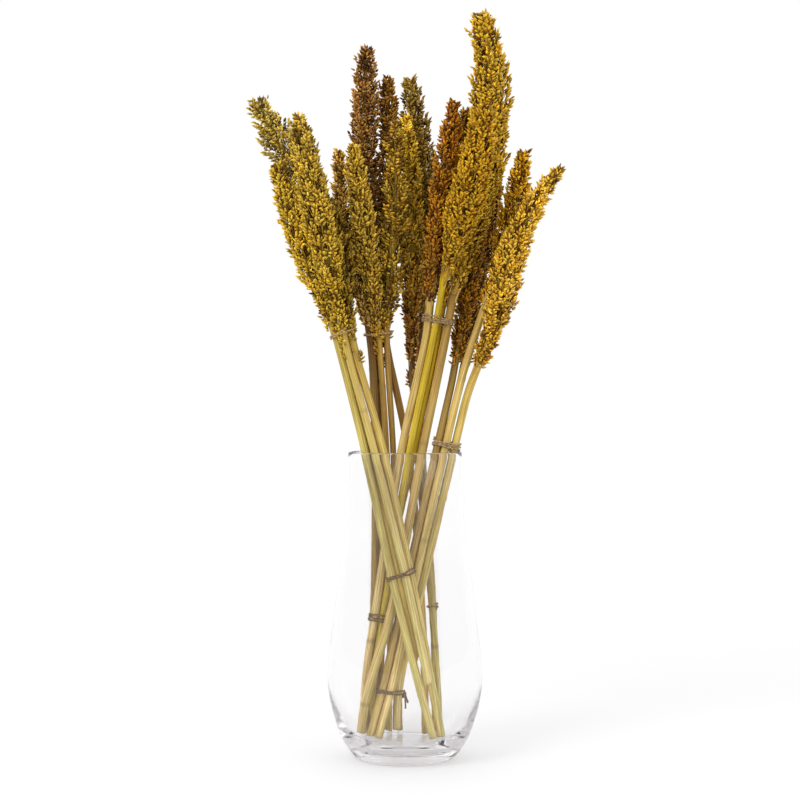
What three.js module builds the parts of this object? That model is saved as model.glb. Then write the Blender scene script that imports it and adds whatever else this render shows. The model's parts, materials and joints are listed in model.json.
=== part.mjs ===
// Dried sorghum in a clear glass vase: five twine-tied bundles of straw stalks, each with its seed head.
// Millimetres, +Z up. The origin is the middle of the vase's foot, on the table; -Y is the front.
import * as THREE from 'three';

// ---- Driving dimensions ----
// The vase's outline, as [radius, height]: the foot and its rounded edge, then the wall from belly to rim.
const VASE_FOOT = [[42, 0], [49, 3], [63, 26]];
const VASE_WALL = [[73.5, 74], [67, 140], [60, 205], [54, 289]];
const VASE_WALL_THICKNESS = 2.8;
const VASE_WELL = [[60.5, 35], [47, 17], [34, 12]]; // the hollow's rounded bottom, down to the floor
const VASE_HEIGHT = 290;
const VASE_STEPS = 16;
const VASE_SIDES = 32;

const STEM_SIDES = 8;
const ROD_STEPS = 12;
const LINE_SAMPLES = 400; // how finely a stalk's line is searched for its neck
const NECK_GAP = 1.2; // clearance between a stem's top and its head

// A head's outline, as [share of its length, share of its radius]. Its foot is a share of the stem's radius.
const HEAD_OUTLINE = [[0, 0.5], [0.12, 0.5], [0.28, 0.9], [0.48, 1], [0.68, 0.86], [0.86, 0.55], [1, 0.14]];
const HEAD_FOOT = 0.9;
const HEAD_SIDES = 10;
const HEAD_LUMP = 0.07; // how far the outline swells and sinks, as a share of its radius
const HEAD_LUMP_LOBES = 2;
const HEAD_LUMP_TWIST = 9; // radians from foot to tip

const TWINE = 1.8; // thickness of the tie twine
const TIE_GAP = 0.5; // clearance between the twine and the stems
const TIE_SIDES = 24;

const STRAW = { color: 0xc9b878, roughness: 0.6, metalness: 0 };
const SEED = { color: 0xa8842a, roughness: 0.85, metalness: 0 };
const CORD = { color: 0x6e5a46, roughness: 0.9, metalness: 0 };
const GLASS = { color: 0xeef2f4, roughness: 0.05, metalness: 0, transparent: true, opacity: 0.3 };

// ---- The bundles ----
// A bundle's line passes through its stations, from the lowest up. Each stalk has its cut foot [x, y, z], its
// place [across, depth] beside the bundle's line at each station, and its head's line from neck to tip.
const bundles = [
  {
    name: 'left',
    stations: [[-4, -22, 175], [-29, -23, 290], [-59, -26, 402]],
    ties: [{ name: 'lower', station: 0, wraps: 1 }, { name: 'upper', station: 2, wraps: 1 }],
    stalks: [
      {
        radius: 3.7, foot: [27, -18, 16], places: [[-9, -2.2], [-8.4, -1.6], [-6.6, 0.4]],
        head: [[-70, -26, 417], [-97, -23, 486], [-122, -22, 560]], headRadius: 12,
      },
      {
        radius: 3.3, foot: [12.2, -15, 96], places: [[-2.6, 1.7], [-3, 5.2], [-0.6, 5.6]],
        head: [[-63.5, -18, 414], [-82, -1, 486], [-98, 0, 543], [-120, -3, 586], [-142, -4, 625]],
        headRadius: 11,
      },
      {
        radius: 3.6, foot: [22, -22.5, 73], places: [[3.9, -3.2], [0.4, -3.4], [0.4, -3.6]],
        head: [[-60.5, -31.5, 412], [-74, -45, 480], [-90, -50, 555], [-99, -50, 602]], headRadius: 16,
      },
      {
        radius: 3.7, foot: [35, -12, 16], places: [[9, 3.8], [8.8, 1.4], [7.2, 0.8]],
        head: [[-53.5, -23.5, 415], [-60, -13, 480], [-80, -8, 555]], headRadius: 11.5,
      },
    ],
  },
  {
    name: 'centre',
    stations: [[-18, 20, 132], [-15, 12, 290], [-25, 8, 402]],
    ties: [{ name: 'upper', station: 2, wraps: 1 }],
    stalks: [
      {
        radius: 3.8, foot: [-35, 20, 18], places: [[-12, -2.6], [-13.5, -4], [-7.8, -1]],
        head: [[-35.5, 7, 414], [-57, 16, 491], [-64, 16, 576]], headRadius: 7.5,
      },
      {
        radius: 3.2, foot: [-26, 24, 14], places: [[-4, 4], [-8, 4], [-2.6, 5.8]],
        head: [[-30, 15, 414], [-36, 38, 500], [-40, 40, 605], [-37, 38, 673]], headRadius: 12,
      },
      {
        radius: 3, foot: [-16, 32, 14], places: [[4, 4], [-2.6, -3.5], [-0.1, -2]],
        head: [[-26, 4.6, 414], [-38, 0, 490], [-50, 0, 582]], headRadius: 12,
      },
      {
        radius: 2.9, foot: [-5, 35, 14], places: [[11, 8], [4, -1], [7.2, 0]],
        head: [[-17, 7.6, 416], [-10, 8, 500], [-8, 6, 605]], headRadius: 11,
      },
      {
        radius: 3.4, foot: [20, 22, 13.5], places: [[34.5, -8], [18, 5], [4.8, 7.4]],
        head: [[-21, 19, 416], [-15, 42, 500], [-16, 52, 595], [-17, 50, 648]], headRadius: 9.5,
      },
    ],
  },
  {
    name: 'rear',
    stations: [[26.6, 20, 141], [14, 30, 290], [8, 40, 380]],
    ties: [{ name: 'lower', station: 0, wraps: 1 }],
    stalks: [
      {
        radius: 3.3, foot: [34, 14, 16], places: [[-0.6, -4], [-2, -4.2], [-2, -6]],
        head: [[6, 34, 393], [7, 36, 470], [2, 36, 612]], headRadius: 11,
      },
      {
        radius: 3.3, foot: [30, 24, 15], places: [[0.6, 4], [3, 4.2], [6, 7]],
        head: [[17, 53, 434], [20, 60, 529], [11, 60, 595], [6, 58, 645]], headRadius: 11.5,
      },
    ],
  },
  {
    name: 'tall',
    stations: [[-33, 3, 61], [-25, 0, 132], [6, -8, 290], [32, -14, 414]],
    ties: [{ name: 'lower', station: 1, wraps: 3, loose: [4] }, { name: 'upper', station: 3, wraps: 2 }],
    stalks: [
      {
        radius: 3.9, foot: [-38, 6, 17.5], places: [[-6, 1.5], [-4, -1.4], [-9.8, -1], [-9, 0.4]],
        head: [[24, -13, 436], [33, -8, 510], [40, -8, 567], [46, -8, 622]], headRadius: 12,
      },
      {
        radius: 3.1, foot: [-29.5, 2, 15], places: [[2, 0], [4, -1.6], [-2, -4.2], [-2.2, -3.4]],
        head: [[36, -24, 452], [54, -40, 515], [68, -42, 567], [74, -42, 614]], headRadius: 17,
      },
      {
        radius: 3.1, foot: [-30, 11, 15.5], places: [[1, 8.5], [0.1, 5.8], [2.4, 3.6], [2.2, 3.8]],
        head: [[37, -8, 436], [44, 20, 520], [60, 22, 619]], headRadius: 11,
      },
      {
        radius: 4.1, foot: [-43, -3, 19.5], places: [[-3.6, -10], [10.4, -9.6], [10.2, 1], [9.2, -0.6]],
        head: [[45, -13, 436], [64, -4, 500], [77, -2, 560], [82, -2, 620], [79, -4, 665], [71, -6, 706]],
        headRadius: 17,
      },
    ],
  },
  {
    name: 'right',
    stations: [[-14, 2, 61], [12.5, 0, 180], [39, -3, 297], [54, -5, 362]],
    ties: [{ name: 'lower', station: 0, wraps: 2 }, { name: 'upper', station: 2, wraps: 3 }],
    stalks: [
      {
        radius: 3.5, foot: [-34, -7, 15.5], places: [[-7.8, -4.4], [-8, -2.8], [-8, -1], [-8, 2]],
        head: [[50, 0, 386], [58, 10, 434], [68, 20, 491], [78, 22, 550]], headRadius: 8,
      },
      {
        radius: 3.7, foot: [-26, -9, 14], places: [[0.4, -4.6], [0, -4], [0, -3], [0, -3]],
        head: [[80, -4, 440], [95, 2, 481], [106, 2, 529], [114, 2, 577]], headRadius: 12,
      },
      {
        radius: 3.8, foot: [-8, 10, 21], places: [[7.4, 2.6], [8, 0.6], [8.8, -1], [10, -5]],
        head: [[70, -14, 374], [86, -22, 418], [96, -24, 462], [115, -23, 512], [146, -20, 556]],
        headRadius: 13,
      },
      {
        radius: 3.3, foot: [-18, 14, 21], places: [[-3.6, 4], [-2.6, 5], [-1.5, 6], [0, 9]],
        head: [[59, 12, 388], [72, 36, 462], [90, 44, 555]], headRadius: 9,
      },
    ],
  },
];

const point = ([x, y, z]) => new THREE.Vector3(x, y, z);

function piece(name, geometry, finish) {
  const mesh = new THREE.Mesh(geometry, new THREE.MeshStandardMaterial(finish));
  mesh.name = name;
  return mesh;
}

// The vase: one wall turned round the axis, open at the rim, with a thick heavy floor.
function vase() {
  const curve = (points) =>
    new THREE.SplineCurve(points.map(([r, z]) => new THREE.Vector2(r, z))).getPoints(VASE_STEPS);
  const wallInside = VASE_WALL.map(([r, z]) => [r - VASE_WALL_THICKNESS, z]).reverse();
  const [rimRadius] = VASE_WALL.at(-1);
  const [, floor] = VASE_WELL.at(-1);
  const profile = [
    new THREE.Vector2(0, 0),
    ...curve([...VASE_FOOT, ...VASE_WALL]),
    new THREE.Vector2(rimRadius - VASE_WALL_THICKNESS / 2, VASE_HEIGHT),
    ...curve([...wallInside, ...VASE_WELL]),
    new THREE.Vector2(0, floor),
  ];
  const turned = new THREE.LatheGeometry(profile, VASE_SIDES);
  turned.rotateX(Math.PI / 2); // the lathe's axis is Y
  return piece('vase', turned, GLASS);
}

// The whole line of a stalk, from its cut foot through the ties to the tip of its head.
function stalkLine(bundle, stalk) {
  const passes = bundle.stations
    .map(([x, y, z], i) => [x + stalk.places[i][0], y + stalk.places[i][1], z])
    .filter((p) => p[2] > stalk.foot[2]);
  const stem = [stalk.foot, ...passes, stalk.head[0]].map(point);
  const tips = stalk.head.slice(1).map(point);
  return new THREE.CatmullRomCurve3([...stem, ...tips], false, 'centripetal');
}

// How far along its line, from 0 to 1, a stalk's stem ends and its head begins.
function neckAt(line, neck) {
  const distance = (t) => line.getPointAt(t).distanceTo(neck);
  let best = 0;
  for (let i = 1; i <= LINE_SAMPLES; i++) {
    if (distance(i / LINE_SAMPLES) < distance(best)) best = i / LINE_SAMPLES;
  }
  return best;
}

function partOfLine(line, from, to) {
  const points = [];
  for (let i = 0; i <= ROD_STEPS; i++) points.push(line.getPointAt(from + ((to - from) * i) / ROD_STEPS));
  return new THREE.CatmullRomCurve3(points);
}

// A straw stem: a round rod along its line, cut square at both ends.
function stem(line, radius) {
  const section = new THREE.Shape();
  section.absarc(0, 0, radius, 0, Math.PI * 2, false);
  return new THREE.ExtrudeGeometry(section, {
    steps: ROD_STEPS, extrudePath: line, curveSegments: STEM_SIDES / 2, bevelEnabled: false,
  });
}

// A seed head: a spindle turned round an axis, then bent along the head's line and made a little lumpy.
function head(line, stemRadius, radius, turn) {
  const length = line.getLength();
  const shares = [0, ...HEAD_OUTLINE.map(([share]) => share), 1];
  const radii = HEAD_OUTLINE.map(([, share], i) => (i === 0 ? HEAD_FOOT * stemRadius : share * radius));
  const profile = [0, ...radii, 0].map((r, i) => new THREE.Vector2(r, shares[i] * length));
  const spindle = new THREE.LatheGeometry(profile, HEAD_SIDES);
  const frames = shares.map((share) => {
    const along = line.getTangentAt(share);
    const across = new THREE.Vector3(0, 1, 0).projectOnPlane(along).normalize();
    return { centre: line.getPointAt(share), across, aside: new THREE.Vector3().crossVectors(across, along) };
  });
  const position = spindle.getAttribute('position');
  for (let i = 0; i < position.count; i++) {
    const { centre, across, aside } = frames[i % frames.length];
    const [x, y, z] = [position.getX(i), position.getY(i), position.getZ(i)];
    const wave = HEAD_LUMP_LOBES * Math.atan2(z, x) + (HEAD_LUMP_TWIST * y) / length + turn;
    const swell = y > 0 ? 1 + HEAD_LUMP * Math.sin(wave) : 1;
    const moved = centre.clone().addScaledVector(across, x * swell).addScaledVector(aside, z * swell);
    position.setXYZ(i, moved.x, moved.y, moved.z);
  }
  return spindle;
}

// A twine tie: a flat band of wraps drawn tight round the stems that cross its station.
function tie(bundle, { station, wraps, loose = [] }, stalks) {
  const centre = point(bundle.stations[station]);
  const held = stalks.filter((_, i) => !loose.includes(i + 1));
  const upright = new THREE.Vector3(0, 0, 1);
  const along = new THREE.Vector3();
  for (const { rod } of held) {
    const above = centre.clone().addScaledVector(upright, TWINE);
    along.add(crossing(rod, above, upright)).sub(crossing(rod, centre, upright));
  }
  along.normalize();
  const across = new THREE.Vector3(0, 1, 0).projectOnPlane(along).normalize();
  const aside = new THREE.Vector3().crossVectors(along, across);
  const height = wraps * TWINE;
  const crossings = [-1, 0, 1].flatMap((side) => {
    const level = centre.clone().addScaledVector(along, (side * height) / 2);
    return held.map(({ rod, radius }) => {
      const place = crossing(rod, level, along).sub(centre);
      return { x: place.dot(across), y: place.dot(aside), radius };
    });
  });
  const outline = (offset) => {
    const points = [];
    for (let i = 0; i < TIE_SIDES; i++) {
      const angle = (Math.PI * 2 * i) / TIE_SIDES;
      const [c, s] = [Math.cos(angle), Math.sin(angle)];
      const reach = (h) => h.x * c + h.y * s + h.radius;
      const outermost = crossings.reduce((a, b) => (reach(b) > reach(a) ? b : a));
      const r = outermost.radius + offset;
      points.push(new THREE.Vector2(outermost.x + r * c, outermost.y + r * s));
    }
    return points;
  };
  const band = new THREE.Shape(outline(TIE_GAP + TWINE));
  band.holes.push(new THREE.Path(outline(TIE_GAP)));
  const ring = new THREE.ExtrudeGeometry(band, { depth: height, bevelEnabled: false });
  ring.translate(0, 0, -height / 2);
  ring.applyMatrix4(new THREE.Matrix4().makeBasis(across, aside, along).setPosition(centre));
  return ring;
}

// Where a rod's straight steps cross the plane through a point, square to a direction.
function crossing(rod, through, direction) {
  const height = (p) => p.clone().sub(through).dot(direction);
  const upper = rod.findIndex((p) => height(p) > 0);
  const [below, above] = [rod[upper - 1], rod[upper]];
  return below.clone().lerp(above, height(below) / (height(below) - height(above)));
}

const arrangement = new THREE.Group();
arrangement.add(vase());
for (const bundle of bundles) {
  const stalks = bundle.stalks.map((stalk) => {
    const line = stalkLine(bundle, stalk);
    const neck = neckAt(line, point(stalk.head[0]));
    const stemLine = partOfLine(line, 0, neck);
    const headLine = partOfLine(line, neck + NECK_GAP / line.getLength(), 1);
    return { ...stalk, stemLine, headLine, rod: stemLine.getSpacedPoints(ROD_STEPS) };
  });
  stalks.forEach(({ stemLine, headLine, radius, headRadius }, i) => {
    const number = i + 1;
    arrangement.add(
      piece(`${bundle.name}_stem_${number}`, stem(stemLine, radius), STRAW),
      piece(`${bundle.name}_head_${number}`, head(headLine, radius, headRadius, number), SEED),
    );
  });
  for (const hold of bundle.ties) {
    arrangement.add(piece(`${bundle.name}_${hold.name}_tie`, tie(bundle, hold, stalks), CORD));
  }
}

export default arrangement;
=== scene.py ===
import json
import math

import bpy
import numpy as np
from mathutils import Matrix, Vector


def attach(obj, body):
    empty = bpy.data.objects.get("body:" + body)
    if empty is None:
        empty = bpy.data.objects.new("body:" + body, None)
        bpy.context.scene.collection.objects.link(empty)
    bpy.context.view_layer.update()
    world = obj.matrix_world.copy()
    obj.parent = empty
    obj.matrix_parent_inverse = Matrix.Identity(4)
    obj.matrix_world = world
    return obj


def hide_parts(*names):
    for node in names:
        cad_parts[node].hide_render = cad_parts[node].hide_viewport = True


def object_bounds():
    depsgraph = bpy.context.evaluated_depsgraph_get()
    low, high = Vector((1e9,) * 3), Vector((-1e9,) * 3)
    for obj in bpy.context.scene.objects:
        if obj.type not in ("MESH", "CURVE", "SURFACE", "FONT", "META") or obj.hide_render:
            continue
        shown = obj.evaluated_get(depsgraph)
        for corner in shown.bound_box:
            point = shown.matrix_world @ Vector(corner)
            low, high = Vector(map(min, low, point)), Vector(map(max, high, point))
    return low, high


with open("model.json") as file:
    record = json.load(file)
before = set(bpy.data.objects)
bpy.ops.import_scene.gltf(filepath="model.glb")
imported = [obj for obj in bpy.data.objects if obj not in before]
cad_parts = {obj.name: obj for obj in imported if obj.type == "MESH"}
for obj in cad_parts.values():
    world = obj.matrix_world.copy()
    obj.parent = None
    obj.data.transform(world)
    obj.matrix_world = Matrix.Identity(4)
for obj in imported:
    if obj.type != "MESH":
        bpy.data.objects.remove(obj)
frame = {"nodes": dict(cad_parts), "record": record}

cad_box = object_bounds()
MM = 0.001  # lengths below are written in millimetres

# ---- Camera ----
# A long lens, square on to the front of the vase and level with a point just above its rim.
camera = bpy.data.objects.new("camera", bpy.data.cameras.new("camera"))
camera.data.sensor_width = 36
camera.data.lens = 80.5
camera.location = (-4.75 * MM, -1700 * MM, 339 * MM)
camera.rotation_euler = (math.pi / 2, 0, 0)
bpy.context.scene.collection.objects.link(camera)
bpy.context.scene.camera = camera

# ---- Floor and light ----
# A pale matt sheet on a studio table, wide enough to run out of sight. A big soft lamp stands high at the
# front left and a weaker one at the right; the backdrop behind is bright and the room behind the lens dim.
bpy.context.scene.view_settings.view_transform = "Standard"


def finish(name):
    """A new finish: its material, nodes and links, and the shader that they lead to."""
    material = bpy.data.materials.new(name)
    material.use_nodes = True
    nodes = material.node_tree.nodes
    return material, nodes, material.node_tree.links, nodes["Principled BSDF"]


def speckle(nodes, scale, detail=2):
    """A cloudy noise, finer as its scale grows."""
    noise = nodes.new("ShaderNodeTexNoise")
    noise.inputs["Scale"].default_value = scale
    noise.inputs["Detail"].default_value = detail
    return noise


def two_tones(nodes, links, noise, first, second, start=0, end=1):
    """A colour that follows a noise from a first tone to a second."""
    ramp = nodes.new("ShaderNodeValToRGB")
    for stop, place, colour in zip(ramp.color_ramp.elements, (start, end), (first, second)):
        stop.position = place
        stop.color = (*colour, 1)
    links.new(noise.outputs["Fac"], ramp.inputs["Fac"])
    return ramp.outputs["Color"]


def lead(nodes, links, value, socket, low, high, start=0, end=1):
    """Lead a value to a socket, stretched so that start gives low and end gives high."""
    stretch = nodes.new("ShaderNodeMapRange")
    for name, number in (("From Min", start), ("From Max", end), ("To Min", low), ("To Max", high)):
        stretch.inputs[name].default_value = number
    links.new(value, stretch.inputs["Value"])
    links.new(stretch.outputs["Result"], socket)


def sheet_finish():
    """Matt white sheet, lit from below, a little more out where the lamps don't reach."""
    material, nodes, links, shader = finish("sheet_white")
    grain = speckle(nodes, 40)
    white = two_tones(nodes, links, grain, (0.34, 0.338, 0.34), (0.37, 0.368, 0.37))
    links.new(white, shader.inputs["Base Color"])
    spot = nodes.new("ShaderNodeTexCoord")
    away = nodes.new("ShaderNodeVectorMath")
    away.operation = "LENGTH"
    links.new(spot.outputs["Object"], away.inputs[0])
    own_light = shader.inputs["Emission Strength"]
    lead(nodes, links, away.outputs["Value"], own_light, 1.42, 1.66, start=0.5, end=3)
    shader.inputs["Emission Color"].default_value = (0.355, 0.353, 0.355, 1)
    shader.inputs["Roughness"].default_value = 0.7
    shader.inputs["Specular IOR Level"].default_value = 0.1
    return material


far = 30  # metres from the vase to the sheet's edge
mesh = bpy.data.meshes.new("table_sheet")
mesh.from_pydata([(-far, -far, 0), (far, -far, 0), (far, far, 0), (-far, far, 0)], [], [(0, 1, 2, 3)])
mesh.materials.append(sheet_finish())
table_sheet = bpy.data.objects.new("table_sheet", mesh)
table_sheet.location.z = -0.3 * MM  # so that the sheet and the vase's foot don't share a plane
bpy.context.scene.collection.objects.link(table_sheet)

for name, place, width, power in [
    ("key_lamp", (-1.3, -1.5, 1.9), 1.1, 34),
    ("fill_lamp", (1.5, -1.2, 0.9), 1.0, 7),
]:
    lamp = bpy.data.objects.new(name, bpy.data.lights.new(name, "AREA"))
    lamp.data.size = width
    lamp.data.energy = power
    lamp.location = place
    aim = cad_box[0].lerp(cad_box[1], 0.5) - lamp.location
    lamp.rotation_euler = aim.to_track_quat("-Z", "Y").to_euler()
    lamp.visible_glossy = name != "fill_lamp"  # the weaker lamp leaves no window in the glass
    bpy.context.scene.collection.objects.link(lamp)

world = bpy.data.worlds.new("studio")
bpy.context.scene.world = world
world.use_nodes = True
nodes, links = world.node_tree.nodes, world.node_tree.links
toward = nodes.new("ShaderNodeTexCoord")
split = nodes.new("ShaderNodeSeparateXYZ")
links.new(toward.outputs["Generated"], split.inputs["Vector"])
sight = nodes.new("ShaderNodeLightPath")
glow, seen, lit = (nodes.new("ShaderNodeMath") for _ in range(3))
seen.operation = lit.operation = "MAXIMUM"
# The room brightens from behind the lens to behind the vase, and again overhead.
lead(nodes, links, split.outputs["Y"], glow.inputs[0], 0.5, 1, start=-0.7, end=0.6)
lead(nodes, links, split.outputs["Z"], glow.inputs[1], 0, 0.55, start=0.25, end=0.8)
links.new(glow.outputs["Value"], seen.inputs[0])
# Looked at straight on it is plain white, and through the glass it is a little less.
links.new(sight.outputs["Is Camera Ray"], seen.inputs[1])
links.new(seen.outputs["Value"], lit.inputs[0])
lead(nodes, links, sight.outputs["Is Transmission Ray"], lit.inputs[1], 0, 0.86)
links.new(lit.outputs["Value"], nodes["Background"].inputs["Color"])
nodes["Background"].inputs["Strength"].default_value = 1


# ---- The vase ----
# Clear soda glass, blown into a turning mould: a wall under 3 mm thick that swells from a heavy foot to the
# belly and draws in to the mouth. The rim is cut level and fire-polished round, the floor is thick and domed.
def relief(nodes, links, noise, shader, strength, depth):
    """Raise the surface where a noise is high."""
    bump = nodes.new("ShaderNodeBump")
    bump.inputs["Strength"].default_value = strength
    bump.inputs["Distance"].default_value = depth * MM
    links.new(noise.outputs["Fac"], bump.inputs["Height"])
    links.new(bump.outputs["Normal"], shader.inputs["Normal"])


def glass_finish():
    """Clear glass with a faint ripple from the mould, and a body that takes a very little light."""
    material, nodes, links, shader = finish("clear_glass")
    shader.inputs["Base Color"].default_value = (0.992, 0.99, 0.991, 1)
    shader.inputs["Transmission Weight"].default_value = 1
    shader.inputs["IOR"].default_value = 1.45
    ripple = speckle(nodes, 22)
    lead(nodes, links, ripple.outputs["Fac"], shader.inputs["Roughness"], 0, 0.03)
    relief(nodes, links, ripple, shader, 0.05, 0.5)
    body_tint = nodes.new("ShaderNodeVolumeAbsorption")
    body_tint.inputs["Color"].default_value = (0.2, 0.14, 0.18, 1)
    body_tint.inputs["Density"].default_value = 4
    links.new(body_tint.outputs["Volume"], nodes["Material Output"].inputs["Volume"])
    return material


def curve_through(stations, steps):
    """A smooth line through its stations, with evenly numbered steps between them."""
    p = np.array(stations, float)
    p = np.vstack([p[0], p, p[-1]])
    t = np.linspace(0, 1, steps, endpoint=False)[:, None]
    line = [
        0.5 * (2 * b + (c - a) * t + (2 * a - 5 * b + 4 * c - d) * t**2 + (3 * b - a - 3 * c + d) * t**3)
        for a, b, c, d in zip(p, p[1:], p[2:], p[3:])
    ]
    return np.vstack(line + [p[-1:]])


def skin(rings, sides):
    """Triangles over a stack of rings of points. The two points after them close its foot and its top."""
    ring, side = np.meshgrid(np.arange(rings - 1), np.arange(sides), indexing="ij")
    a = (ring * sides + side).ravel()
    b = (ring * sides + (side + 1) % sides).ravel()
    side = np.arange(sides)
    beside = (side + 1) % sides
    last = (rings - 1) * sides
    foot, top = np.full(sides, rings * sides), np.full(sides, rings * sides + 1)
    return np.vstack(
        [
            np.stack([a, b, b + sides], 1),
            np.stack([a, b + sides, a + sides], 1),
            np.stack([foot, beside, side], 1),
            np.stack([top, last + side, last + beside], 1),
        ]
    )


def make_piece(name, points, triangles, material, **marks):
    """A smooth mesh piece of triangles. Each mark is a value, place or colour that every point carries."""
    mesh = bpy.data.meshes.new(name)
    mesh.vertices.add(len(points))
    mesh.vertices.foreach_set("co", np.ascontiguousarray(points, np.float32).ravel())
    mesh.loops.add(triangles.size)
    mesh.loops.foreach_set("vertex_index", np.ascontiguousarray(triangles, np.int32).ravel())
    mesh.polygons.add(len(triangles))
    mesh.polygons.foreach_set("loop_start", np.arange(0, triangles.size, 3, dtype=np.int32))
    mesh.update(calc_edges=True)
    mesh.shade_smooth()
    for mark, values in marks.items():
        kind, key = ("FLOAT", "value") if values.ndim == 1 else ("FLOAT_VECTOR", "vector")
        data = mesh.attributes.new(mark, kind, "POINT").data
        data.foreach_set(key, np.ascontiguousarray(values, np.float32).ravel())
    mesh.materials.append(material)
    piece = bpy.data.objects.new(name, mesh)
    bpy.context.scene.collection.objects.link(piece)
    return piece


# A render setting: light is followed for longer than usual, because inside a thick foot like this one it is
# reflected many times before it gets out, and where it is cut off the glass turns black.
bpy.context.scene.cycles.max_bounces = 32
bpy.context.scene.cycles.glossy_bounces = 32
bpy.context.scene.cycles.transmission_bounces = 32

wall, height = 2.8, 290
mouth, shoulder, side, belly = 54, 60, 67, 73.5  # the wall's outer radii, from the rim down
rim = height - wall / 2
punt = [(0, 1.6), (16, 1.5), (30, 1.0), (37, 0.3)]  # the hollow under the foot, from the middle out
outside = curve_through(
    [(42, 0), (49, 3), (63, 26), (belly, 74), (side, 140), (shoulder, 205), (mouth, rim)], 12,
)
inside = curve_through(
    [(mouth - wall, rim), (shoulder - wall, 205), (side - wall, 140), (belly - wall, 74),
     (60.5, 35), (47, 17), (34, 12.4), (16, 13.2), (0, 13.6)], 10,
)
lip = [
    (mouth - wall / 2 + wall / 2 * math.cos(a), rim + wall / 2 * math.sin(a))
    for a in np.linspace(0, math.pi, 9)[1:-1]
]
profile = np.vstack([punt, outside, lip, inside])
turns = 160
angle = np.linspace(0, 2 * math.pi, turns, endpoint=False)
points = np.stack(
    [
        np.outer(profile[:, 0], np.cos(angle)),
        np.outer(profile[:, 0], np.sin(angle)),
        np.repeat(profile[:, 1:], turns, axis=1),
    ], axis=-1,
)
body = np.vstack([points[1:-1].reshape(-1, 3), points[:1, 0], points[-1:, 0]])
vase_glass = make_piece("vase_glass", body * MM, skin(len(profile) - 2, turns), glass_finish())
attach(vase_glass, "root")
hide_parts("vase")


# ---- The stalks ----
# Dried sorghum stems: a hard straw rind round a soft pith, a little thinner towards the top, with a raised
# ring at each joint. They are cut from the field stalk with shears, some square and some on a slant.
def centre_line(node, trim, ends):
    """The centre line and radius of a CAD rod or head, from the loops that level cuts through it leave."""
    mesh = frame["nodes"][node].data
    mesh.calc_loop_triangles()
    place = np.empty(len(mesh.vertices) * 3, np.float32)
    mesh.vertices.foreach_get("co", place)
    corner = np.empty(len(mesh.loop_triangles) * 3, np.int32)
    mesh.loop_triangles.foreach_get("vertices", corner)
    faces = place.reshape(-1, 3)[corner].reshape(-1, 3, 3).astype(float)
    normals = np.cross(faces[:, 1] - faces[:, 0], faces[:, 2] - faces[:, 0])
    low, high = faces[..., 2].min(), faces[..., 2].max()
    levels = np.linspace(low + trim, high - trim, 50)
    centres, areas = [], []
    for z in levels:
        above = faces[..., 2] > z
        hit = above.any(1) & ~above.all(1)
        f, n, up = faces[hit], normals[hit], above[hit]
        crossings = []
        for i, j in ((0, 1), (1, 2), (2, 0)):
            crossed = up[:, i] != up[:, j]
            share = (z - f[:, i, 2]) / np.where(crossed, f[:, j, 2] - f[:, i, 2], 1)
            at = f[:, i, :2] + share[:, None] * (f[:, j, :2] - f[:, i, :2])
            crossings.append(np.where(crossed[:, None], at, np.nan))
        crossings = np.stack(crossings, 1)
        pair = crossings[~np.isnan(crossings[..., 0])].reshape(-1, 2, 2)
        middle = pair.mean((0, 1))
        pair = pair - middle
        backward = ((pair[:, 1] - pair[:, 0]) * np.stack([-n[:, 1], n[:, 0]], 1)).sum(1) < 0
        pair[backward] = pair[backward][:, ::-1]
        wedge = pair[:, 0, 0] * pair[:, 1, 1] - pair[:, 0, 1] * pair[:, 1, 0]
        area = wedge.sum() / 2
        centres.append(middle + (pair.sum(1) * wedge[:, None]).sum(0) / (6 * area))
        areas.append(area)
    line = np.column_stack([centres, levels])
    along = np.gradient(line, axis=0)
    along /= np.linalg.norm(along, axis=1, keepdims=True)
    radius = np.sqrt(np.array(areas) * along[:, 2] / math.pi)
    for at, edge, past in ((0, low, 1), (-1, high, -1)):
        lean = math.sqrt(1 - along[at, 2] ** 2) * radius[at] * ends
        tip = line[at] + along[at] * ((edge + past * lean) - line[at, 2]) / along[at, 2]
        line = np.vstack([tip, line] if at == 0 else [line, tip])
        radius = np.append(radius[:1], radius) if at == 0 else np.append(radius, radius[-1:])
    for _ in range(3):  # ease the corners between the rod's straight steps
        line[1:-1] = (line[:-2] + 2 * line[1:-1] + line[2:]) / 4
    return distances(line), line, radius


def distances(line):
    """How far along a line each of its points lies."""
    return np.concatenate([[0], np.cumsum(np.linalg.norm(np.diff(line, axis=0), axis=1))])


def along_line(run, line, at):
    return np.stack([np.interp(at, run, line[:, i]) for i in range(3)], -1)


def unit(v):
    return v / np.linalg.norm(v, axis=-1, keepdims=True)


def across_from(along):
    """Two directions square to a rod: one towards the back as nearly as can be, and one to its side."""
    across = unit(np.array([0, 1.0, 0]) - along[..., 1:2] * along)
    return across, np.cross(along, across)


def tone(r, g, b):
    """A paint-card colour, 0 to 255, as linear light."""
    c = np.array([r, g, b]) / 255
    return np.where(c <= 0.04045, c / 12.92, ((c + 0.055) / 1.055) ** 2.4)


def carried(nodes, mark):
    """What each point of a piece carries under a mark."""
    own = nodes.new("ShaderNodeAttribute")
    own.attribute_name = mark
    return own


def stain(nodes, links, colour, over):
    """One colour seen through another."""
    mix = nodes.new("ShaderNodeMix")
    mix.data_type = "RGBA"
    mix.blend_type = "MULTIPLY"
    mix.inputs["Factor"].default_value = 1
    links.new(colour, mix.inputs["A"])
    links.new(over, mix.inputs["B"])
    return mix.outputs["Result"]


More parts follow.
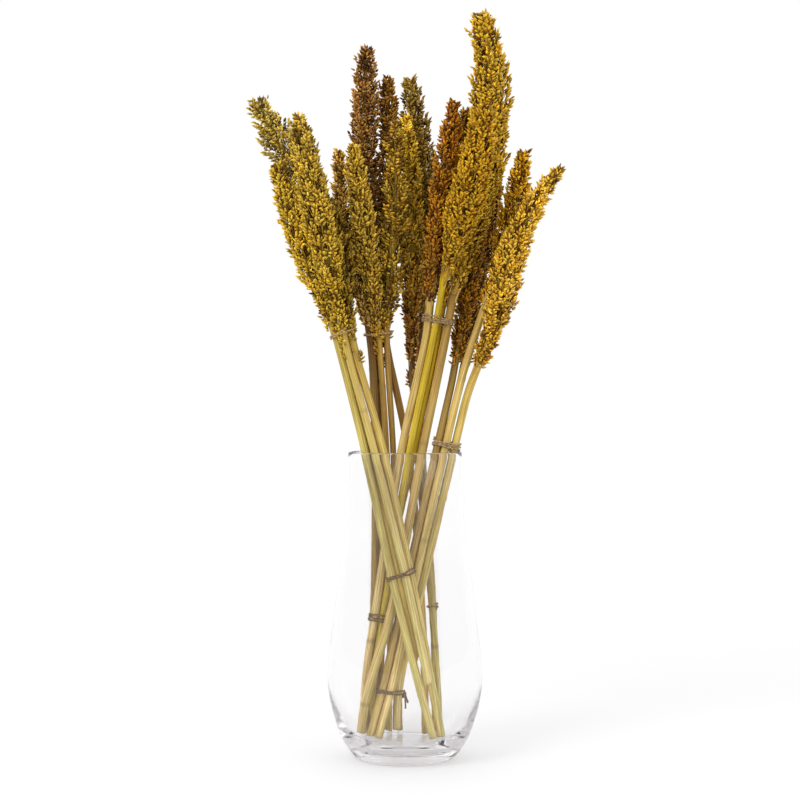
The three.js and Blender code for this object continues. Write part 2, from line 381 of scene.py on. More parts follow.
def straw_finish(name, shine):
    """Dry rind: fine streaks along the fibre, broad weathered patches, browned rings at the joints."""
    material, nodes, links, shader = finish(name)
    fibre = carried(nodes, "fibre")
    streak = speckle(nodes, 1.3, 5)
    patch = speckle(nodes, 0.16)
    for noise in (streak, patch):
        links.new(fibre.outputs["Vector"], noise.inputs["Vector"])
    light = two_tones(nodes, links, streak, (0.58, 0.49, 0.34), (1.14, 1.12, 1.0), 0.36, 0.64)
    weather = two_tones(nodes, links, patch, (0.86, 0.9, 0.72), (1.06, 1.0, 0.98), 0.35, 0.65)
    colour = stain(nodes, links, carried(nodes, "straw_tone").outputs["Color"], light)
    colour = stain(nodes, links, colour, weather)
    browned = nodes.new("ShaderNodeMix")
    browned.data_type = "RGBA"
    browned.inputs["B"].default_value = (0.24, 0.14, 0.05, 1)
    links.new(carried(nodes, "joint").outputs["Fac"], browned.inputs["Factor"])
    links.new(colour, browned.inputs["A"])
    links.new(browned.outputs["Result"], shader.inputs["Base Color"])
    lead(nodes, links, streak.outputs["Fac"], shader.inputs["Roughness"], shine, shine + 0.3)
    shader.inputs["Specular IOR Level"].default_value = 0.3
    relief(nodes, links, streak, shader, 0.35, 0.12)
    return material


straw_finishes = {
    "pale_straw": straw_finish("pale_straw", 0.36),
    "yellow_straw": straw_finish("yellow_straw", 0.32),
    "brown_straw": straw_finish("brown_straw", 0.42),
}
cut_rind, cut_pith = tone(236, 222, 178), tone(228, 214, 170)
slot_of = {part["node"]: part["material_slot"] for part in frame["record"]["subparts"]}
straw_tones = {  # each stem's colour at its foot and at its top; the foot tones are partly painted light, lifted to make up for the light the glass takes
    "left_stem_1": ((250, 236, 166), (174, 158, 76)),
    "left_stem_2": ((232, 210, 114), (160, 136, 56)),
    "left_stem_3": ((252, 238, 176), (186, 160, 84)),
    "left_stem_4": ((250, 234, 164), (188, 160, 80)),
    "centre_stem_1": ((230, 200, 136), (104, 68, 24)),
    "centre_stem_2": ((214, 184, 114), (136, 90, 34)),
    "centre_stem_3": ((240, 212, 146), (180, 142, 62)),
    "centre_stem_4": ((244, 220, 154), (162, 124, 52)),
    "centre_stem_5": ((228, 198, 126), (128, 82, 26)),
    "rear_stem_1": ((240, 224, 158), (84, 52, 22)),
    "rear_stem_2": ((228, 212, 134), (104, 76, 30)),
    "tall_stem_1": ((252, 234, 180), (180, 156, 82)),
    "tall_stem_2": ((234, 214, 96), (188, 160, 8)),
    "tall_stem_3": ((214, 190, 50), (188, 154, 0)),
    "tall_stem_4": ((242, 222, 156), (158, 122, 58)),
    "right_stem_1": ((230, 206, 134), (138, 110, 46)),
    "right_stem_2": ((252, 232, 168), (192, 164, 90)),
    "right_stem_3": ((252, 234, 172), (196, 168, 86)),
    "right_stem_4": ((218, 196, 120), (126, 94, 40)),
}
joints_at = {  # heights of the raised rings above the table
    "left_stem_1": (262,), "left_stem_3": (176, 330), "left_stem_4": (105, 384),
    "centre_stem_1": (118, 300), "centre_stem_3": (146, 352), "centre_stem_4": (96, 250),
    "rear_stem_1": (104, 215), "rear_stem_2": (160, 332), "tall_stem_1": (112, 328),
    "tall_stem_2": (210, 404), "tall_stem_4": (52, 300), "right_stem_1": (142,),
    "right_stem_2": (208, 360), "right_stem_3": (44, 246), "right_stem_4": (92, 268),
}
SLANTED = "left_stem_2"  # cut on a long slant; the others are cut nearly square
SIDES, STEPS = 16, 110
PAST_TOP = 1.6 * MM  # how far a stem reaches into its head
stalk_lines = {}


def hump(above, width):
    """A smooth rise that is 1 where above is 0 and dies away over the width, in millimetres."""
    return np.exp(-((above / (width * MM)) ** 2))


for number, node in enumerate(sorted(straw_tones)):
    chance = np.random.default_rng(100 + number)
    run, line, radius = centre_line(node, 6 * MM, 1)
    r = float(np.median(radius))
    stalk_lines[node] = run, line, r
    length = run[-1]
    at = np.concatenate([[0], np.linspace(0, length, STEPS), [length + PAST_TOP]])
    path = along_line(run, line, np.minimum(at, length))
    path[-1] += unit(line[-1] - line[-2]) * PAST_TOP
    along = unit(np.gradient(path[1:-1], axis=0))
    along = np.vstack([along[:1], along, along[-1:]])
    across, aside = across_from(along)

    # The rind: it tapers, it swells at each joint with a waist just above, and it is grooved lengthwise.
    size = r * (1.11 - 0.07 * at / length)
    joint = np.zeros(len(at))
    for level in joints_at.get(node, ()):
        above = at - np.interp(level * MM, line[:, 2], run)
        size += r * (0.085 * hump(above, 1.5) - 0.05 * hump(above - 4 * MM, 2))
        joint += 0.5 * hump(above + 1.6 * MM, 0.8)
    turn = np.linspace(0, 2 * math.pi, SIDES, endpoint=False)
    groove = 1 + 0.03 * np.cos(3 * turn + chance.uniform(0, 6))
    groove = groove + 0.02 * np.cos(7 * turn + chance.uniform(0, 6))
    reach = size[:, None] * groove[None]
    reach[0] *= 0.84  # the pith inside the cut rind
    spokes = np.cos(turn)[:, None] * across[:, None] + np.sin(turn)[:, None] * aside[:, None]
    points = path[:, None] + reach[..., None] * spokes

    # The cut foot: the rind stands a little proud of the pith where it is cut square.
    slant = 1.9 if node == SLANTED else chance.uniform(0.05, 0.3)
    lean = turn + math.pi / 2 if node == SLANTED else turn - chance.uniform(0, 6)
    points[:2] += along[:2, None] * (np.cos(lean) * r * slant)[:, None] * (reach[:2] / r)[..., None]
    if node != SLANTED:
        points[0] += along[0] * 0.5 * MM

    # The stem pales from top to foot. This is partly its own colour and partly painted light: the foot tone
    # is lifted against the dimness inside the glass.
    low, high = (tone(*c) for c in straw_tones[node])
    share = np.clip(at / length, 0, 1)[:, None] ** 1.2
    colours = np.repeat((low * (1 - share) + high * share)[:, None], SIDES, axis=1)
    colours[0] = cut_rind
    fibre = np.stack(
        [
            np.tile(np.cos(turn) * 3.4 + 20 * number, (len(at), 1)),
            np.tile(np.sin(turn) * 3.4, (len(at), 1)),
            np.repeat(at[:, None] / MM * 0.02, SIDES, axis=1),
        ], axis=-1,
    )
    stem = make_piece(
        node + "_straw", np.vstack([points.reshape(-1, 3), points[0].mean(0), points[-1].mean(0)]),
        skin(len(at), SIDES), straw_finishes[slot_of[node]],
        straw_tone=np.vstack([colours.reshape(-1, 3), cut_pith, high]),
        fibre=np.vstack([fibre.reshape(-1, 3), fibre[0].mean(0), fibre[-1].mean(0)]),
        joint=np.append(np.repeat(np.clip(joint, 0, 0.6), SIDES), [0, 0]),
    )
    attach(stem, "root")
    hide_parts(node)


# ---- The seed heads ----
# Sorghum panicles: a tapering stalk with hundreds of short upright sprigs, each with its two ranks of pointed
# husked seeds. The husks dry gold, olive or brown. They are painted paler at their points (painted highlight)
# and dark where they join the sprig (painted shade, partly their own darker base).
def husk_finish(name, dark, shine):
    """Papery husk: the tone each seed carries, with its painted shade at the foot and on the inner layer and
    its painted highlight at the point, fine ribs, a dull gloss that varies seed by seed.
    """
    material, nodes, links, shader = finish(name)
    place = nodes.new("ShaderNodeTexCoord")
    mottle = speckle(nodes, 620, 3)
    links.new(place.outputs["Object"], mottle.inputs["Vector"])
    shade = two_tones(nodes, links, mottle, dark, (1.1, 1.08, 1.02), 0.3, 0.6)
    colour = stain(nodes, links, carried(nodes, "husk_tone").outputs["Color"], shade)
    links.new(colour, shader.inputs["Base Color"])
    lead(nodes, links, mottle.outputs["Fac"], shader.inputs["Roughness"], shine, shine + 0.35)
    shader.inputs["Specular IOR Level"].default_value = 0.2
    relief(nodes, links, mottle, shader, 0.4, 0.2)
    return material


husk_finishes = {
    "golden_seeds": husk_finish("golden_seeds", (0.72, 0.62, 0.5), 0.4),
    "olive_seeds": husk_finish("olive_seeds", (0.7, 0.64, 0.5), 0.45),
    "brown_seeds": husk_finish("brown_seeds", (0.62, 0.55, 0.48), 0.45),
}

# One seed: pointed at both ends, fattest below its middle, a little flat. Its point is at height 1.
SEED_SIDES = 5
seed_rings = [(0.16, 0.74), (0.42, 1.0), (0.76, 0.56)]  # height and width
round_seed = np.linspace(0, 2 * math.pi, SEED_SIDES, endpoint=False)
seed_points = np.array(
    [(0, 0, 0)]
    + [(0.5 * w * math.cos(a), 0.36 * w * math.sin(a), h) for h, w in seed_rings for a in round_seed]
    + [(0, 0, 1)]
)
seed_faces, seed_map = [], []
for k in range(SEED_SIDES):
    n = (k + 1) % SEED_SIDES
    u, v = k / SEED_SIDES, (k + 1) / SEED_SIDES
    last = 1 + (len(seed_rings) - 1) * SEED_SIDES
    seed_faces.append((0, 1 + n, 1 + k))
    seed_map.append(((u + v) / 2, 0, v, 0.25, u, 0.25))
    for i in range(len(seed_rings) - 1):
        p, low, high = 1 + i * SEED_SIDES, (i + 1) / 4, (i + 2) / 4
        seed_faces += [(p + k, p + n, p + SEED_SIDES + n), (p + k, p + SEED_SIDES + n, p + SEED_SIDES + k)]
        seed_map += [(u, low, v, low, v, high), (u, low, v, high, u, high)]
    seed_faces.append((last + k, last + n, len(seed_points) - 1))
    seed_map.append((u, 0.75, v, 0.75, (u + v) / 2, 1))
seed_faces, seed_map = np.array(seed_faces), np.array(seed_map).reshape(-1, 3, 2)
# Painted shade and highlight: a husk is darkened at its foot, where the seeds crowd and shade each other
# (partly its own darker base), and lifted above its tone at its point as a painted highlight. The painted
# shade is redder where it is darker.
seed_painted_shade = (0.34 + 0.84 * seed_points[:, 2:] ** 0.75) ** np.array([1, 1.33, 1.8])

# Each head: how full it is beyond its CAD spindle, how blunt its tip, how ragged, its strays (sprigs on the
# stalk below the neck) and its tones low down, high up and where its seeds are palest.
heads = {
    "left_head_1": (1.04, 0.5, 0.15, 5, (208, 170, 38), (216, 182, 48), (246, 230, 96)),
    "left_head_2": (1.2, 0.6, 1.0, 2, (140, 108, 24), (200, 174, 62), (246, 232, 134)),
    "left_head_3": (0.9, 0.55, 0.2, 9, (192, 154, 22), (196, 164, 52), (240, 222, 100)),
    "left_head_4": (0.76, 0.3, 0.3, 9, (158, 128, 30), (152, 122, 30), (214, 192, 78)),
    "centre_head_1": (0.84, 0.35, 0.1, 4, (196, 154, 54), (244, 204, 98), (250, 230, 144)),
    "centre_head_2": (1.06, 0.4, 0.5, 14, (112, 72, 22), (174, 124, 54), (222, 184, 106)),
    "centre_head_3": (0.88, 0.3, 0.15, 6, (180, 136, 34), (220, 186, 62), (246, 226, 112)),
    "centre_head_4": (0.74, 0.45, 0.9, 5, (178, 142, 34), (200, 160, 40), (236, 216, 96)),
    "centre_head_5": (0.96, 0.6, 0.4, 6, (130, 88, 20), (168, 120, 32), (214, 176, 76)),
    # rear_head_1's high tone is partly painted light: it is lifted past its own colour against the shade of
    # the heads in front of it.
    "rear_head_1": (0.98, 0.5, 0.2, 9, (164, 98, 20), (255, 216, 46), (255, 244, 120)),
    "rear_head_2": (1.35, 0.5, 0.5, 5, (158, 122, 34), (168, 138, 54), (224, 202, 110)),
    "tall_head_1": (0.86, 0.55, 0.2, 0, (154, 98, 10), (182, 118, 14), (224, 176, 44)),
    "tall_head_2": (0.98, 0.6, 0.2, 0, (182, 138, 18), (194, 146, 14), (236, 206, 54)),
    "tall_head_3": (0.92, 0.58, 0.3, 3, (188, 138, 22), (174, 130, 26), (222, 186, 58)),
    "tall_head_4": (1.0, 0.7, 0.4, 0, (186, 144, 24), (216, 176, 32), (248, 224, 88)),
    "right_head_1": (0.92, 0.4, 0.2, 2, (170, 116, 12), (192, 138, 14), (228, 184, 44)),
    "right_head_2": (0.96, 0.35, 0.25, 2, (230, 172, 20), (244, 192, 26), (254, 228, 74)),
    "right_head_3": (1.0, 0.2, 0.3, 0, (214, 164, 32), (236, 194, 52), (252, 230, 108)),
    "right_head_4": (0.92, 0.4, 0.35, 3, (134, 94, 20), (172, 124, 28), (218, 178, 62)),
}
swellings = {  # how much wider a head is, at five places from its neck to its tip
    "left_head_2": (0.9, 0.9, 1.0, 1.2, 1.3), "left_head_3": (1.0, 1.0, 0.98, 0.94, 1.0),
    "left_head_4": (1.0, 0.95, 0.85, 0.7, 0.55), "tall_head_4": (0.72, 0.76, 1.04, 1.26, 1.2),
    "centre_head_4": (1.0, 1.0, 0.85, 0.66, 0.55), "right_head_2": (1.0, 1.0, 1.0, 0.86, 0.75),
    "right_head_3": (1.0, 1.06, 1.02, 0.78, 0.42), "centre_head_2": (1.0, 1.0, 0.95, 1.05, 1.25),
}
bare = {"tall_head_2": 14, "tall_head_4": 8}  # millimetres above the neck before the first sprigs
longer = {  # millimetres at the tip
    "centre_head_2": 10, "rear_head_2": 11, "centre_head_1": 4, "centre_head_5": 8, "rear_head_1": 4,
    "left_head_4": -26,
}
ROW, PITCH, SEEDS_A_SPRIG = 6.2 * MM, 7.4 * MM, 8
STRAY_BELOW = -8 * MM  # sprigs that start lower than this grow from the stalk below the neck
TWIG_STEPS, STRIPS, STRIP_STEPS, CORE_STEPS, CORE_SIDES = 5, 7, 8, 40, 8
sheath_tone = tone(214, 192, 124)


def vary(chance, mean, spread, least, most, shape):
    """Lengths about a mean in millimetres, kept within limits."""
    return np.clip(chance.normal(mean, spread, shape), least, most) * MM


def tubes(paths, radii, sides):
    """Rods closed at both ends, along many paths at once. Paths are (rods, steps, 3), radii (rods, steps)."""
    rods, steps = radii.shape
    along = unit(np.gradient(paths, axis=1))
    mean = unit(along.mean(1))
    upright = np.where(np.abs(mean[:, 1:2]) < 0.8, [[0, 1.0, 0]], [[1.0, 0, 0]])[:, None]
    across = unit(upright - (upright * along).sum(-1, keepdims=True) * along)
    aside = np.cross(along, across)
    a = np.linspace(0, 2 * math.pi, sides, endpoint=False)[:, None]
    spokes = np.cos(a) * across[:, :, None] + np.sin(a) * aside[:, :, None]
    rings = paths[:, :, None] + spokes * radii[:, :, None, None]
    points = np.concatenate([rings.reshape(rods, -1, 3), paths[:, :1], paths[:, -1:]], axis=1)
    triangles = skin(steps, sides)[None] + (np.arange(rods) * points.shape[1])[:, None, None]
    return points.reshape(-1, 3), triangles.reshape(-1, 3)


def tube_map(steps, sides):
    """The flat map of one such rod: a corner on the map for each corner of its triangles."""
    s, k = np.meshgrid(np.arange(steps - 1), np.arange(sides), indexing="ij")
    u, v = k.ravel() / sides, s.ravel() / (steps - 1)
    du, dv = 1 / sides, 1 / (steps - 1)
    end = np.arange(sides) / sides
    foot, top = end * 0, end * 0 + 1
    corners = [
        [u, v, u + du, v, u + du, v + dv],
        [u, v, u + du, v + dv, u, v + dv],
        [end + du / 2, foot, end + du, foot + dv / 3, end, foot + dv / 3],
        [end + du / 2, top, end, top - dv / 3, end + du, top - dv / 3],
    ]
    return np.vstack([np.stack(each, 1) for each in corners]).reshape(-1, 3, 2)


def lay_out_map(head, parts):
    """Give each seed, twig and strip its own cell on a square map. Each part is a count and a map."""
    a_row = math.ceil(math.sqrt(sum(count for count, _ in parts)))
    margin = 0.12
    laid, done = [], 0
    for count, flat in parts:
        cell = np.arange(done, done + count)
        corner = np.stack([cell % a_row, cell // a_row], 1)[:, None, None] / a_row
        laid.append((corner + (margin + (1 - 2 * margin) * flat)[None] / a_row).ravel())
        done += count
    layer = head.data.uv_layers.new(name="OFBake")
    layer.data.foreach_set("uv", np.concatenate(laid).astype(np.float32))


def spindle_of(node):
    """A head's run, line and radius from 70 mm below its neck, its length and its stalk's radius."""
    run, line, radius = centre_line(node, 2.5 * MM, 0)
    extra = longer.get(node, 0) * MM
    if extra > 0:
        line = np.vstack([line, line[-1] + unit(line[-1] - line[-4]) * extra])
        run = np.append(run, run[-1] + extra)
        radius = np.append(radius, radius[-1])
    length = run[-1] + min(extra, 0)
    below, stem_line, stalk_radius = stalk_lines[node.replace("head", "stem")]
    tail = below > below[-1] - 70 * MM
    line = np.vstack([stem_line[tail], line])
    run = np.concatenate([below[tail] - below[-1] - 1.2 * MM, run])
    radius = np.concatenate([np.full(tail.sum(), stalk_radius), radius])
    return run, line, radius, length, stalk_radius


def sprigs_of(girth, start, length, ragged, strays, chance):
    """Where each sprig stands: its place along the head, its bearing and its share of the girth."""
    swings = ((1, 2.3, 1), (2, 4.1, 0.8), (3, 6.7, 0.6), (2, 9.2, 0.5))  # round, along, how strong
    waves = [(k, m, chance.uniform(0, 6), w) for k, m, w in swings]
    found = []
    for _ in range(strays):
        place = -9 * MM - 4 * MM * strays * chance.random() ** 1.7
        found.append((place, chance.uniform(0, 2 * math.pi), 1.0))
    for i, s in enumerate(np.linspace(start, length - 10 * MM, round((length - start) / ROW))):
        for share, gap in ((0.8, PITCH), (0.42, PITCH * 1.25)):  # an outer and an inner layer
            count = max(3, round(2 * math.pi * girth(s) * share / gap))
            for j in range(count):
                bearing = 2 * math.pi * (j + chance.uniform(-0.3, 0.3)) / count + 2.4 * i
                place = s + chance.uniform(-0.55, 0.55) * ROW
                lump = sum(w * math.sin(k * bearing + m * place / length * 6.3 + f) for k, m, f, w in waves)
                lump = lump / 1.9
                if ragged > 0.3 and lump < 0.5 * ragged - 0.95 and chance.random() < ragged:
                    continue
                found.append((place, bearing, share * (1 + 0.42 * ragged * lump + chance.normal(0, 0.05))))
    return np.array(found).T


def seeds_on(sprig_foot, sprig_way, sprig_length, outward, sideways, ragged, chance):
    """Seeds sit left and right along the sprig in turn, splayed from it, with one at its end."""
    shape = len(sprig_foot), SEEDS_A_SPRIG
    sprig_way, outward, sideways = sprig_way[:, None], outward[:, None], sideways[:, None]
    rank = np.arange(SEEDS_A_SPRIG)
    step = (rank + 0.6) / SEEDS_A_SPRIG
    hand = np.where(rank % 2 == 0, 1.0, -1.0)[:, None]
    splay = np.where(rank == SEEDS_A_SPRIG - 1, 6, 54 + 18 * ragged - 20 * step)
    splay = np.radians(splay + chance.normal(0, 18, shape))[..., None]
    proud = np.radians(chance.normal(26, 24, shape))[..., None]
    way = unit(sprig_way * np.cos(splay) + sideways * np.sin(splay) * hand + outward * np.sin(proud))
    foot = sprig_foot[:, None] + sprig_way * sprig_length[:, None, None] * step[:, None] * 0.92
    foot = foot + sideways * (hand * 0.5 * MM) + outward * chance.normal(0.3, 0.5, shape)[..., None] * MM
    wide = unit(np.cross(outward + chance.normal(0, 0.35, foot.shape), way))
    thin = np.cross(way, wide)
    long = vary(chance, 5.2, 0.6, 3.8, 6.8, shape)[..., None, None]
    broad = vary(chance, 2.7, 0.3, 2.0, 3.5, shape)[..., None, None]
    section = seed_points[:, :1] * wide[..., None, :] + seed_points[:, 1:2] * thin[..., None, :]
    return foot[..., None, :] + broad * section + long * seed_points[:, 2:] * way[..., None, :]


def sheath_strips(frame_at, stalk_radius, chance):
    """Pale strips of dried sheath that cling to the stalk at the neck, their ends lifting away from it."""
    t = np.linspace(0, 1, STRIP_STEPS)[None]
    foot = chance.uniform(-12, -2, STRIPS)[:, None] * MM
    here, _, across, aside = frame_at(foot + chance.uniform(14, 34, STRIPS)[:, None] * MM * t)
    turn = (chance.uniform(0, 2 * math.pi, STRIPS)[:, None] + 0.5 * t)[..., None]
    lift = stalk_radius * 1.04 + chance.uniform(0.4, 3.2, STRIPS)[:, None] * MM * t**2
    paths = here + (np.cos(turn) * across + np.sin(turn) * aside) * lift[..., None]
    return tubes(paths, np.repeat(np.linspace(0.55, 0.2, STRIP_STEPS)[None] * MM, STRIPS, axis=0), 3)


def seed_colours(height, share, low, high, pale, chance):
    """From the head's low tone to its high one, varied by sprig and by seed, some pale and some burnt, with
    painted shade on the inner layer and at each husk's foot and a painted highlight at its point.
    """
    sprigs, seeds = (len(share), 1, 1), (len(share), SEEDS_A_SPRIG, 1)
    rise = np.clip(height + chance.normal(0, 0.12, len(share)), 0, 1)[:, None, None]
    own = low * (1 - rise) + high * rise
    own = own * np.exp(chance.normal(0, 0.14, sprigs)) * np.exp(chance.normal(0, 0.24, seeds))
    inner_painted_shade = np.clip(share * 1.9 - 0.5, 0.2, 1)[:, None, None]  # painted shade: the inner husks are darkened and reddened, as if in the outer ones' shadow
    own = own * inner_painted_shade ** np.array([1, 1.2, 1.4])
    mixed = np.clip(chance.normal(0.14, 0.2, seeds), 0, 0.85) * (share > 0.6)[:, None, None]
    own = own * (1 - mixed) + pale * mixed
    burnt = (chance.random(seeds) < 0.1) * 0.45
    own = own * (1 - burnt) + own * np.array([0.5, 0.36, 0.3]) * burnt
    return (own.reshape(-1, 1, 3) * seed_painted_shade).reshape(-1, 3)


for number, (node, (full, blunt, ragged, strays, low_tone, high_tone, pale_tone)) in enumerate(heads.items()):
    chance = np.random.default_rng(500 + number)
    run, line, radius, length, stalk_radius = spindle_of(node)
    swelling = swellings.get(node, (1, 1, 1, 1, 1))

    def girth(s):
        spindle = np.interp(s, run, radius) * full * np.interp(s / length, np.linspace(0, 1, 5), swelling)
        dome = np.sqrt(np.clip((length + 1 * MM - s) / (34 * MM), 0, 1)) * (s > length / 2)
        return np.maximum(spindle, blunt * radius.max() * full * dome)

    def frame_at(s):
        ahead = along_line(run, line, s + 2 * MM) - along_line(run, line, s - 2 * MM)
        along = unit(ahead + [0, 0, 1e-9])
        return along_line(run, line, s), along, *across_from(along)

    # Each sprig leans out from the head, less so towards the tip, where they close over it.
    place, bearing, share = sprigs_of(girth, bare.get(node, -6) * MM, length, ragged, strays, chance)
    total = len(place)
    here, along, across, aside = frame_at(np.minimum(place, length - 2 * MM))
    size = girth(place)
    cosine, sine = np.cos(bearing)[:, None], np.sin(bearing)[:, None]
    outward = cosine * across + sine * aside
    sideways = cosine * aside - sine * across
    ending = np.clip(1 - (length - place) / (32 * MM), 0, 1)
    splay = 7 + 22 * ragged + chance.normal(0, 7, total)
    splay = splay * (1 - 0.5 * ending) - 20 * ending * share
    splay = np.radians(np.where(place < STRAY_BELOW, 3, splay))[:, None]
    drift = np.radians(chance.normal(0, 16, total))[:, None]
    sprig_way = unit(along * np.cos(splay) + outward * np.sin(splay) + sideways * np.sin(drift))
    sprig_foot = here + outward * (size * share)[:, None]
    sprig_length = vary(chance, 10.5 + 4 * ragged, 1.6, 7.5, 16, total)
    sprig_length = np.minimum(sprig_length, np.maximum(length - 4 * MM - place, 6.5 * MM))

    # Its stalk leaves the main stalk lower down, rises to its foot and carries on through its seeds.
    root_at = np.clip(place - chance.uniform(14, 24, total) * MM, -22 * MM, None)
    root_at = np.where(place < STRAY_BELOW, place - 6 * MM, root_at)
    root_here, _, root_across, root_aside = frame_at(root_at)
    thick = stalk_radius * (0.98 - 0.82 * np.clip(root_at, 0, None) / length)
    root = root_here + (cosine * root_across + sine * root_aside) * (thick * 0.8)[:, None]
    knee = root * 0.45 + sprig_foot * 0.55 + outward * (size * 0.1)[:, None]
    reach = sprig_way * sprig_length[:, None]
    twigs = np.stack([root, knee, sprig_foot, sprig_foot + reach * 0.5, sprig_foot + reach * 0.97], axis=1)
    twig_radii = np.tile(np.array([0.5, 0.42, 0.36, 0.3, 0.2]) * MM, (total, 1))
    twig_points, twig_faces = tubes(twigs, twig_radii, 3)

    seeds = seeds_on(sprig_foot, sprig_way, sprig_length, outward, sideways, ragged, chance).reshape(-1, 3)
    count = total * SEEDS_A_SPRIG
    seed_triangles = (seed_faces[None] + (np.arange(count) * len(seed_points))[:, None, None]).reshape(-1, 3)
    strip_points, strip_faces = sheath_strips(frame_at, stalk_radius, chance)
    at = np.linspace(0, length - 4 * MM, CORE_STEPS)
    core_radii = stalk_radius * (1.02 - 0.86 * at / length)
    core_points, core_faces = tubes(along_line(run, line, at)[None], core_radii[None], CORE_SIDES)

    # The main stalk keeps its stem's colour at the neck and turns to the twigs' within 30 mm.
    low, high, pale = tone(*low_tone), tone(*high_tone), tone(*pale_tone)
    seed_tones_and_shade = seed_colours(place / length, share, low, high, pale, chance)
    straw = (tone(176, 150, 78) * 0.5 + high * 0.5) * 0.9
    fade = np.clip(at / (30 * MM), 0, 1)[:, None]
    core_tones = tone(*straw_tones[node.replace("head", "stem")][1]) * (1 - fade) + straw * fade
    tones = [
        seed_tones_and_shade,
        np.tile(straw, (len(twig_points), 1)),
        np.tile(sheath_tone * 0.7 + straw * 0.3, (len(strip_points), 1)),
        np.repeat(core_tones, CORE_SIDES, axis=0), core_tones[:1], core_tones[-1:],
    ]
    points, triangles, base = [], [], 0
    for p, f in (
        (seeds, seed_triangles), (twig_points, twig_faces),
        (strip_points, strip_faces), (core_points, core_faces),
    ):
        points.append(p)
        triangles.append(f + base)
        base += len(p)
    head = make_piece(
        node + "_seeds", np.vstack(points), np.vstack(triangles), husk_finishes[slot_of[node]],
        husk_tone=np.vstack(tones),
    )
    lay_out_map(
        head,
        [(count, seed_map), (total, tube_map(TWIG_STEPS, 3)), (STRIPS, tube_map(STRIP_STEPS, 3)),
         (1, tube_map(CORE_STEPS, CORE_SIDES))],
    )
    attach(head, "root")
    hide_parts(node)


# ---- The ties ----
# Two-ply brown jute, wound by hand round each bundle and cut short. Five of the eight ties have a knot with
# its tails. On the other three the two ends of the winding just stop.
def jute_finish():
    """Rough jute: its ply's own tone, flecked along the fibres, dry and fuzzy."""
    material, nodes, links, shader = finish("twine")
    place = nodes.new("ShaderNodeTexCoord")
    fibres = speckle(nodes, 900, 4)
    links.new(place.outputs["Object"], fibres.inputs["Vector"])
    fleck = two_tones(nodes, links, fibres, (0.5, 0.45, 0.4), (1.25, 1.22, 1.15), 0.3, 0.7)
    colour = stain(nodes, links, carried(nodes, "ply_tone").outputs["Color"], fleck)
    links.new(colour, shader.inputs["Base Color"])
    lead(nodes, links, fibres.outputs["Fac"], shader.inputs["Roughness"], 0.75, 1)
    relief(nodes, links, fibres, shader, 0.6, 0.2)
    return material


twine = jute_finish()
PLY, TWIST = 0.42 * MM, 4.2 * MM  # how far each ply lies from the middle, and the length of a full twist
FULL_TURN = 2 * math.pi
# The jute has browned inside the vase and stayed pale above it.
aged, weathered, fresh = (160, 128, 88), (172, 144, 110), (198, 170, 126)
loose_fibre = tone(206, 184, 152)
ties = {  # turns, thickness, tilt across the front, bearing of the knot (0 right, -90 front), tails, tone
    "left_lower_tie": (1.6, 1.1, 0.06, 178, (7,), aged),
    "left_upper_tie": (1.3, 1.0, 0.16, 200, (), fresh),
    "centre_upper_tie": (1.3, 1.0, -0.02, 20, (), fresh),
    "rear_lower_tie": (1.3, 0.95, 0.05, -20, (5,), fresh),
    "tall_lower_tie": (3.1, 1.0, -0.03, -58, (15, 8), aged),
    "tall_upper_tie": (3.4, 0.85, -0.08, 5, (), weathered),
    "right_lower_tie": (2.1, 1.1, 0.02, -25, (14, 9), aged),
    "right_upper_tie": (3.6, 0.9, 0.0, -8, (8, 6), fresh),
}


def band_of(node):
    """A CAD band's middle, its three directions, and the loop that lies just inside its outside."""
    mesh = frame["nodes"][node].data
    place = np.empty(len(mesh.vertices) * 3, np.float32)
    mesh.vertices.foreach_get("co", place)
    place = place.reshape(-1, 3).astype(float)
    middle = (place.min(0) + place.max(0)) / 2
    _, _, axes = np.linalg.svd(place - place.mean(0), full_matrices=False)
    axis = axes[2] * np.sign(axes[2][2])
    right = unit(np.array([1.0, 0, 0]) - axis[0] * axis)
    back = np.cross(axis, right)
    flat = np.stack([(place - middle) @ right, (place - middle) @ back], 1)
    bearing = np.linspace(0, FULL_TURN, 180, endpoint=False)
    facing = np.stack([np.cos(bearing), np.sin(bearing)], 1)
    support = (flat @ facing.T).max(0) - 0.9 * MM
    for _ in range(4):
        support = (np.roll(support, 1) + 2 * support + np.roll(support, -1)) / 4
    slope = (np.roll(support, -1) - np.roll(support, 1)) / (2 * (bearing[1] - bearing[0]))
    loop = support[:, None] * facing + slope[:, None] * np.stack([-np.sin(bearing), np.cos(bearing)], 1)
    return middle, right, back, axis, np.append(bearing, FULL_TURN), np.vstack([loop, loop[:1]])


def two_ply(strand, axis, gauge):
    """The two plies that twist round each other along a strand."""
    run = distances(strand)
    at = np.linspace(0, run[-1], max(12, int(run[-1] / (0.55 * MM))))
    path = along_line(run, strand, at)
    along = unit(np.gradient(path, axis=0))
    side = unit(np.cross(along, axis + 0.01))
    other = np.cross(along, side)
    for ply in (0, math.pi):
        spin = at / TWIST * FULL_TURN + ply
        core = path + PLY * gauge * (np.cos(spin)[:, None] * side + np.sin(spin)[:, None] * other)
        thick = np.full(len(at), 0.5 * MM * gauge) * (1 + 0.08 * np.sin(at / MM * 1.9 + ply))
        yield tubes(core[None], thick[None], 7)


def fibres_off(strands, turns, outward, chance):
    """Loose fibres that stand off the twine and curl."""
    everywhere = np.vstack(strands)
    pick = everywhere[chance.integers(0, len(everywhere), int(46 * turns))]
    way = unit(chance.normal(0, 1, pick.shape) + outward * 0.2)
    long = chance.uniform(1.2, 3.2, len(pick))[:, None, None] * MM
    curl = unit(np.cross(way, chance.normal(0, 1, pick.shape)))
    t = np.linspace(0, 1, 4)[:, None]
    hairs = pick[:, None] + way[:, None] * long * t + curl[:, None] * long * 0.35 * t**2
    return tubes(hairs, np.tile(np.array([0.07, 0.06, 0.05, 0.03]) * MM, (len(pick), 1)), 3)


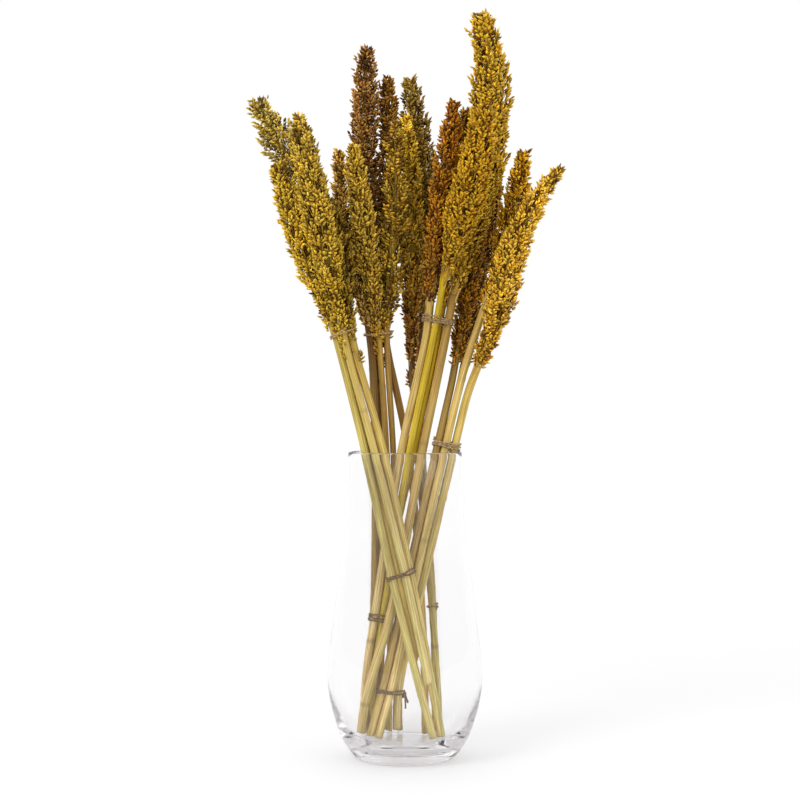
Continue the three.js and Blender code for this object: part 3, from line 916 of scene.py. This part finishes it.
for number, (node, (turns, gauge, tilt, knot_at, tails, ply_tone)) in enumerate(ties.items()):
    chance = np.random.default_rng(900 + number)
    middle, right, back, axis, bearing, loop = band_of(node)
    start = math.radians(knot_at)
    way = np.linspace(start, start + turns * FULL_TURN, int(turns * 260))
    wound = np.stack([np.interp(way % FULL_TURN, bearing, loop[:, i]) for i in range(2)], 1)
    rise = (way - way.mean()) / FULL_TURN * 2.5 * MM * gauge + wound[:, 0] * tilt
    rise = rise + 0.5 * MM * np.sin(way * 1.7 + number) + 0.3 * MM * np.sin(way * 4.3 + 2 * number)
    strands = [middle + wound[:, :1] * right + wound[:, 1:] * back + rise[:, None] * axis]

    # The knot, halfway between the two ends of the winding, and the tails that hang from it.
    knot = strands[0][0] * 0.5 + strands[0][-1] * 0.5
    outward = unit(right * math.cos(start) + back * math.sin(start))
    sideways = np.cross(axis, outward)
    if tails:
        t = np.linspace(0, FULL_TURN, 90)
        swirl = np.stack([np.sin(t) + 2 * np.sin(2 * t), np.cos(t) - 2 * np.cos(2 * t), -np.sin(3 * t)], 1)
        swirl = swirl * 0.62 * MM * gauge
        strands.append(knot + outward * 1.1 * MM + swirl @ np.stack([axis, sideways, outward]))
    for i, tail in enumerate(tails):
        t = np.linspace(0, 1, 40)[:, None]
        lean = sideways * (0.35 if i else -0.3)
        drop = np.array([0, 0, -1.0])
        strands.append(
            knot + outward * (1.2 + 0.35 * tail * t * (1 - 0.4 * t)) * MM + lean * tail * t * MM
            + drop * tail * t**1.4 * MM + np.sin(t * 7 + i) * 0.4 * MM * axis
        )

    points, triangles, tones, base = [], [], [], 0
    # One ply of each strand is painted at 0.62 of the other's tone: painted shade, a darker copy of the same
    # jute.
    rods = [(rod, shade) for strand in strands for rod, shade in zip(two_ply(strand, axis, gauge), (0.62, 1))]
    rods = [(rod, tone(*ply_tone) * shade) for rod, shade in rods]
    rods.append((fibres_off(strands, turns, outward, chance), loose_fibre))
    for (p, f), colour in rods:
        points.append(p)
        triangles.append(f + base)
        tones.append(np.tile(colour, (len(p), 1)))
        base += len(p)
    tie = make_piece(
        node + "_twine", np.vstack(points), np.vstack(triangles), twine,
        ply_tone=np.vstack(tones),
    )
    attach(tie, "root")
    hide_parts(node)
